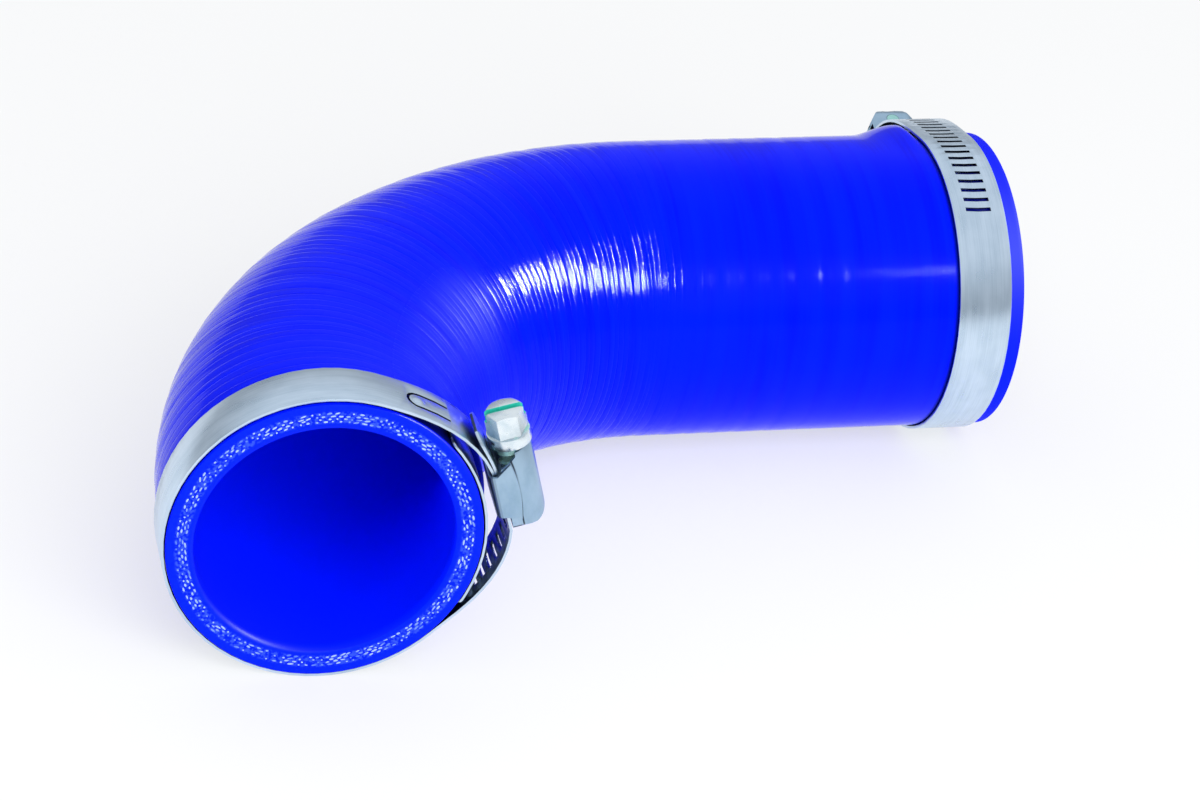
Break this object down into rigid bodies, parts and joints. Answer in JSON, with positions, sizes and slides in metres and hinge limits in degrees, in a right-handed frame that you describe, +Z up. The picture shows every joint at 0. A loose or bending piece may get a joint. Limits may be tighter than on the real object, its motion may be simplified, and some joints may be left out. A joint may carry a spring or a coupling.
{
  "type": "intercooler hose elbow",
  "caption": "Moulded silicone hose elbow with a short leg and a long leg, each end held by a perforated-band worm-drive hose clamp.",
  "frame": {"origin": "middle of the bounding box's base, on the surface that the elbow lies on", "axes": "+X along the long leg towards its open end, +Z up from the surface, and the short leg opens towards -Y"},
  "size_m": [0.219, 0.1566, 0.0708],
  "materials": {
    "blue_silicone": "glossy moulded silicone, saturated blue, with fine wrap marks from moulding",
    "stainless_band": "rolled stainless strip, brushed along its length",
    "stainless_pressing": "pressed stainless sheet, softly scuffed",
    "plated_screw": "plated steel with a faint green tint in its slot and neck"
  },
  "bodies": {
    "elbow": {"hose_elbow": "blue_silicone", "near_clamp_band": "stainless_band", "near_clamp_tongue": "stainless_band", "near_clamp_saddle": "stainless_pressing", "near_clamp_housing": "stainless_pressing", "far_clamp_band": "stainless_band", "far_clamp_tongue": "stainless_band", "far_clamp_saddle": "stainless_pressing", "far_clamp_housing": "stainless_pressing"},
    "near_screw": {"near_clamp_screw": "plated_screw"},
    "far_screw": {"far_clamp_screw": "plated_screw"}
  },
  "joints": [
    {"name": "near_screw_turn", "type": "hinge", "parent": "elbow", "child": "near_screw", "pos_m": [-0.03222, -0.07063, 0.04852], "axis": [0.2991, -0.0314, -0.9537], "continuous": true},
    {"name": "far_screw_turn", "type": "hinge", "parent": "elbow", "child": "far_screw", "pos_m": [0.09953, 0.06941, 0.04757], "axis": [0, -0.279, 0.9603], "continuous": true}
  ]
}
